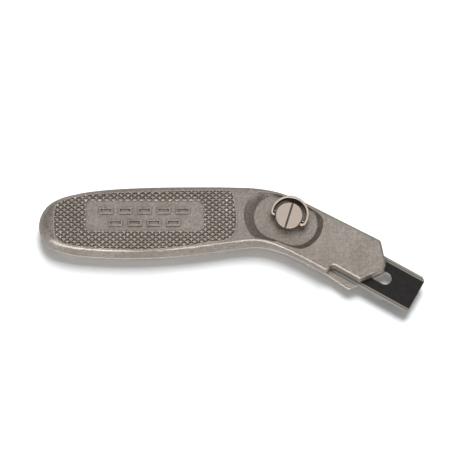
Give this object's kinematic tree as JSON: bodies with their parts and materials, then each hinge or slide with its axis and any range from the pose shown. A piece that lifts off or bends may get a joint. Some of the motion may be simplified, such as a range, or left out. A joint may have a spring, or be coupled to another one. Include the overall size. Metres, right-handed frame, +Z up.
{
  "type": "utility knife",
  "caption": "Bent cast metal utility knife for carpet: a thumb screw clamps a slotted blade in the nose and spare blades lie in the grip.",
  "frame": {"origin": "bottom centre of the knife's box, on the surface that the knife lies on", "axes": "+X along the handle to the blade, +Y to the spine, +Z up out of the cover that the screw's head stands on"},
  "size_m": [0.1804, 0.0588, 0.0185],
  "materials": {
    "cast_metal": "tumbled warm grey cast metal",
    "plated_steel": "satin nickel plate",
    "plain_steel": "plain turned steel",
    "black_blade": "blackened steel with ground edges",
    "brass": "machined brass"
  },
  "bodies": {
    "base": {"bottom_shell": "cast_metal", "threaded_insert": "brass", "blade_post_rear": "plain_steel", "blade_post_front": "plain_steel", "cutting_blade": "black_blade", "spare_blade_1": "black_blade", "spare_blade_2": "black_blade", "spare_blade_3": "black_blade", "spare_blade_4": "black_blade", "spare_blade_5": "black_blade"},
    "cover": {"top_shell": "cast_metal"},
    "washer": {"clamp_washer": "plain_steel"},
    "screw": {"clamp_screw": "plated_steel", "bail_pin": "plain_steel"},
    "bail": {"bail_ring": "plated_steel"}
  },
  "joints": [
    {"name": "cover_open", "type": "hinge", "parent": "base", "child": "cover", "pos_m": [-0.09023, 0.01207, 0.008], "axis": [0, -1, 0], "range_deg": [0, 40]},
    {"name": "screw_lift", "type": "slide", "parent": "cover", "child": "washer", "axis": [0, 0, 1], "range_m": [0, 0.00452]},
    {"name": "screw_turn", "type": "hinge", "parent": "washer", "child": "screw", "pos_m": [0.02707, 0.01387, 0.012], "axis": [0, 0, 1], "range_deg": [0, 1620]},
    {"name": "bail_fold", "type": "hinge", "parent": "screw", "child": "bail", "pos_m": [0.02707, 0.01387, 0.0162], "axis": [0.9272, -0.3746, 0], "range_deg": [0, 180]}
  ],
  "couplings": [
    {"joint": "screw_lift", "follows": "screw_turn", "m_per_rad": 0.00015915}
  ]
}
